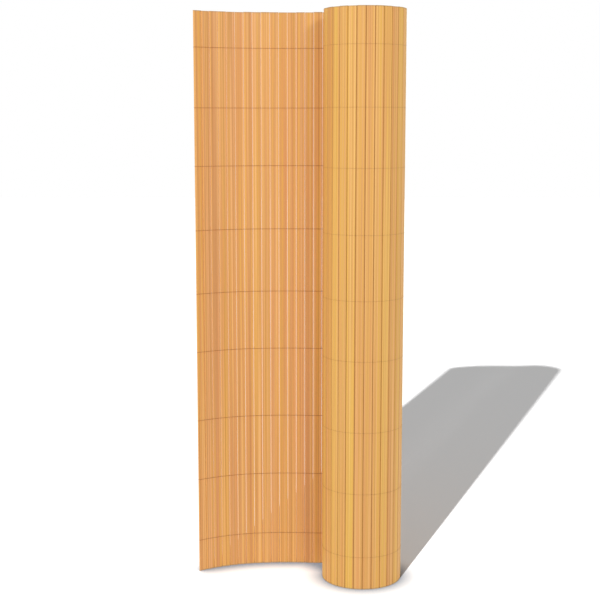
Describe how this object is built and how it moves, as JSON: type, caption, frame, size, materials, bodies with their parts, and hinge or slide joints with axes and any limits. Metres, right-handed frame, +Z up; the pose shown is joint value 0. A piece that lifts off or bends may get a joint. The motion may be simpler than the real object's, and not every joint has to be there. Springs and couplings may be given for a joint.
{
  "type": "pvc privacy screen",
  "caption": "Roll of upright hollow plastic slats held side by side by rows of tie wire, its free end swung open as a leaf; screens a fence, railing or balcony.",
  "frame": {"origin": "middle of the outline seen from above, on the floor that the slats' ends stand on", "axes": "+Z up along the slats, +X from the leaf's free end towards the roll, +Y away from the side that the leaf's free end curls to"},
  "size_m": [0.3287, 0.1313, 0.9],
  "materials": {
    "slat": "satin, bamboo-coloured with fine lengthwise streaks",
    "wire": "brown plastic coat on thin wire"
  },
  "bodies": {
    "root": {"rolled_slats": "slat", "slat_01": "slat", "slat_02": "slat", "slat_03": "slat", "slat_04": "slat", "slat_05": "slat", "slat_06": "slat", "slat_07": "slat", "slat_08": "slat", "slat_09": "slat", "slat_10": "slat", "slat_11": "slat", "slat_12": "slat", "slat_13": "slat", "slat_14": "slat", "slat_15": "slat", "slat_16": "slat", "slat_17": "slat", "slat_18": "slat", "slat_19": "slat", "slat_20": "slat", "slat_21": "slat", "slat_22": "slat", "slat_23": "slat", "slat_24": "slat", "slat_25": "slat", "slat_26": "slat", "slat_27": "slat", "slat_28": "slat", "slat_29": "slat", "slat_30": "slat", "slat_31": "slat", "slat_32": "slat", "slat_33": "slat", "slat_34": "slat", "slat_35": "slat", "slat_36": "slat", "slat_37": "slat", "slat_38": "slat", "slat_39": "slat", "slat_40": "slat", "slat_41": "slat", "slat_42": "slat", "slat_43": "slat", "slat_44": "slat", "slat_45": "slat", "slat_46": "slat", "slat_47": "slat", "slat_48": "slat", "tie_wire_1": "wire", "tie_wire_2": "wire", "tie_wire_3": "wire", "tie_wire_4": "wire", "tie_wire_5": "wire", "tie_wire_6": "wire", "tie_wire_7": "wire", "tie_wire_8": "wire", "tie_wire_9": "wire"}
  },
  "joints": []
}
